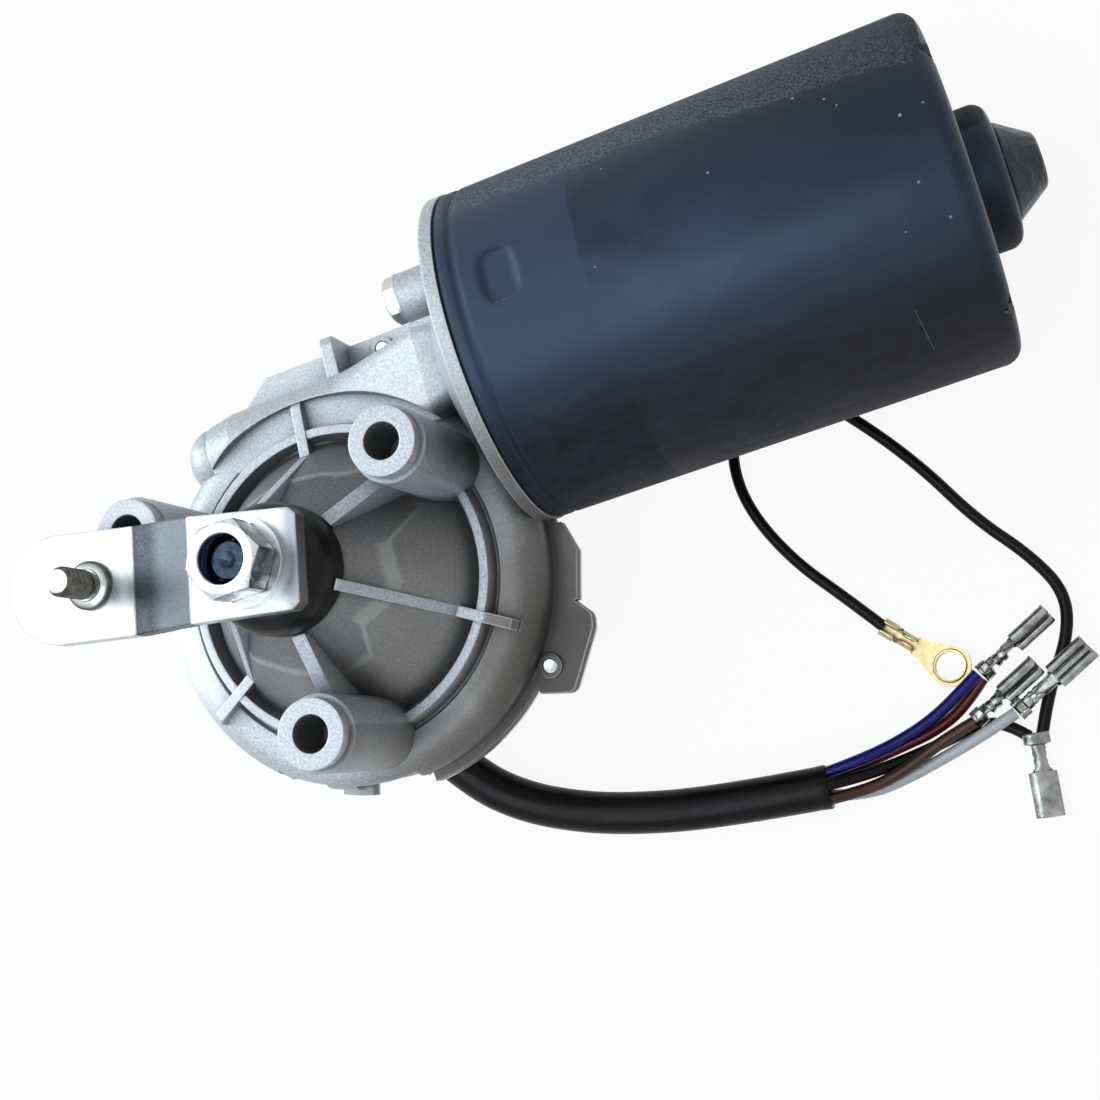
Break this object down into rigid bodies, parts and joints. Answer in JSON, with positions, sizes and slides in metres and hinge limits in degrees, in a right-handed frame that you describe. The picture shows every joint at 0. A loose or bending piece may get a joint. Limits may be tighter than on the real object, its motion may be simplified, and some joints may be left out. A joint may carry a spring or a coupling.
{
  "type": "wiper motor",
  "caption": "Permanent-magnet wiper gearmotor: round black motor, die-cast worm gearbox with boss mounts, crank arm on the output shaft and a wiring loom.",
  "frame": {"origin": "centre of the bolt circle of the three mounting bosses, at the height of the boss faces; also the output shaft's axis", "axes": "+Z along the output shaft towards the crank arm, +X parallel to the worm and the motor's axis towards the motor's closed end, +Y across from the output shaft towards the motor's axis"},
  "size_m": [0.2859, 0.2126, 0.1273],
  "materials": {
    "cast_aluminium": "die cast, fine grain",
    "zinc_steel": "zinc plated",
    "machined_steel": "turned",
    "plated_plate": "satin plated plate",
    "gasket_paper": "pressed gasket",
    "sintered_bronze": "sintered bronze",
    "black_rubber": "smooth moulded",
    "black_paint": "satin black paint",
    "white_nylon": "moulded nylon",
    "brown_laminate": "paper laminate",
    "carbon": "copper graphite",
    "ferrite": "ferrite",
    "lamination_steel": "stacked laminations",
    "copper": "enamelled copper",
    "contact_brass": "stamped brass",
    "tinned_brass": "tinned",
    "black_pvc": "soft sleeve",
    "red_pvc": "wire insulation",
    "blue_pvc": "wire insulation",
    "brown_pvc": "wire insulation",
    "white_pvc": "wire insulation"
  },
  "bodies": {
    "housing": {"gear_housing": "cast_aluminium", "cover_gasket": "gasket_paper", "back_cover": "zinc_steel", "cover_screws": "zinc_steel", "upper_bush": "sintered_bronze", "lower_bush": "sintered_bronze", "shaft_boot": "black_rubber", "contact_carrier": "white_nylon", "park_contacts": "contact_brass", "motor_case": "black_paint", "field_magnets": "ferrite", "brush_plate": "brown_laminate", "brushes": "carbon", "front_bearing": "machined_steel", "rear_bush": "sintered_bronze", "rear_cap": "black_paint", "case_bolts": "zinc_steel", "thrust_plug": "machined_steel", "cable_grommet": "black_rubber", "cable_sheath": "black_pvc", "wire_red": "red_pvc", "wire_blue": "blue_pvc", "wire_black": "black_pvc", "wire_brown": "brown_pvc", "wire_white": "white_pvc", "ground_lead": "black_pvc", "terminal_blue": "tinned_brass", "terminal_brown": "tinned_brass", "terminal_white": "tinned_brass", "terminal_black": "tinned_brass", "ring_terminal": "contact_brass"},
    "output": {"output_shaft": "machined_steel", "worm_wheel": "white_nylon", "wheel_hub": "machined_steel", "retaining_ring": "machined_steel", "thrust_washer": "sintered_bronze", "contact_disc": "contact_brass", "crank_arm": "plated_plate", "crank_stud": "zinc_steel", "crank_washer": "zinc_steel", "crank_nut": "zinc_steel"},
    "armature": {"armature_shaft": "machined_steel", "armature_core": "lamination_steel", "armature_windings": "copper", "commutator": "copper"}
  },
  "joints": [
    {"name": "output_spin", "type": "hinge", "parent": "housing", "child": "output", "pos_m": [0, 0, 0], "axis": [0, 0, 1], "continuous": true},
    {"name": "armature_spin", "type": "hinge", "parent": "housing", "child": "armature", "pos_m": [0, 0.049, -0.053], "axis": [1, 0, 0], "continuous": true}
  ],
  "couplings": [
    {"joint": "armature_spin", "follows": "output_spin", "ratio": 56}
  ]
}
